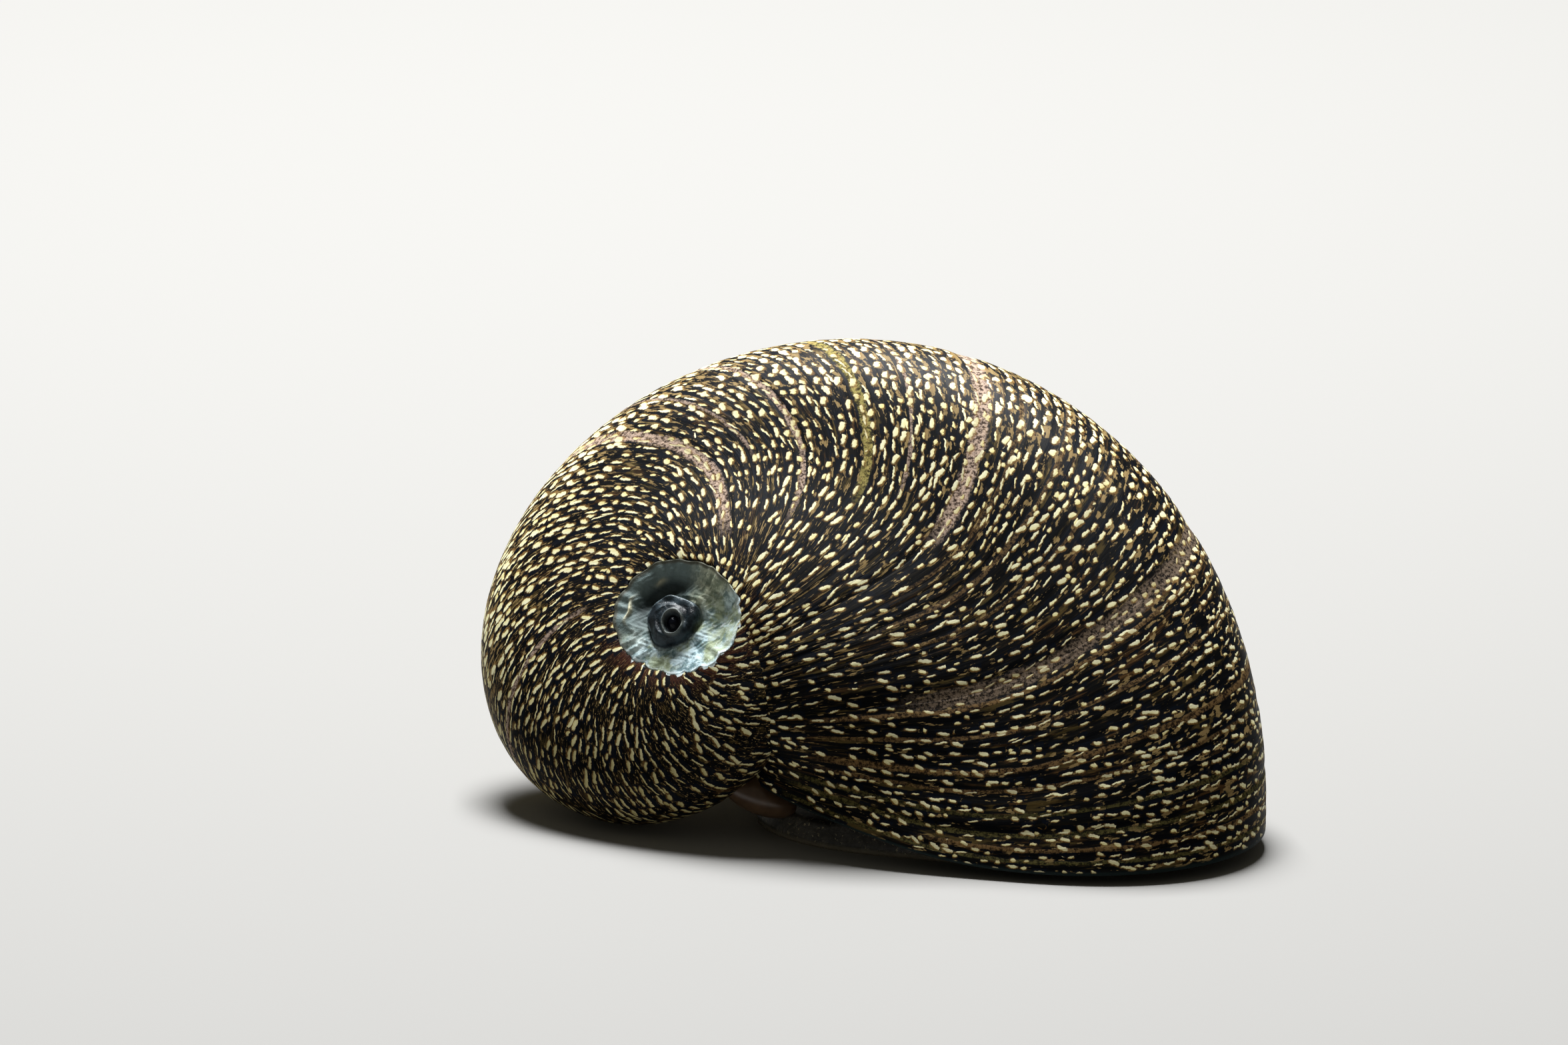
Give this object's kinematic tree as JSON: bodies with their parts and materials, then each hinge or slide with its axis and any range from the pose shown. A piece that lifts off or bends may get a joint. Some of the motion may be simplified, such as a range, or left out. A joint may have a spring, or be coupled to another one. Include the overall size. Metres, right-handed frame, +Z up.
{
  "type": "nerite snail",
  "caption": "Still, life-size nerite snail with a dark, pale-flecked dome shell and a worn apex, resting on the flat sole of its foot with its head turned left.",
  "frame": {"origin": "near the middle of the flat sole of the foot, on the floor", "axes": "+X towards the animal's front, +Y to its left, +Z up"},
  "size_m": [0.0249, 0.0203, 0.0137],
  "materials": {
    "shell": "satin near-black shell with cream flecks and fine growth lines",
    "worn_shell": "matt chalky blue-white, slate in the middle",
    "callus": "smooth, tan, slightly glossy",
    "operculum": "smooth dark plate",
    "flesh": "moist dark grey skin with fine mottling",
    "eye": "glossy black"
  },
  "bodies": {
    "root": {"shell_outer_lip": "shell", "shell_body_whorl": "shell", "shell_spire_whorl": "shell", "shell_apex": "worn_shell", "shell_columella_deck": "callus", "shell_callus": "callus", "operculum": "operculum", "foot": "flesh", "mantle_edge": "flesh", "head": "flesh", "tentacle_left": "flesh", "tentacle_right": "flesh", "eye_left": "eye", "eye_right": "eye"}
  },
  "joints": []
}
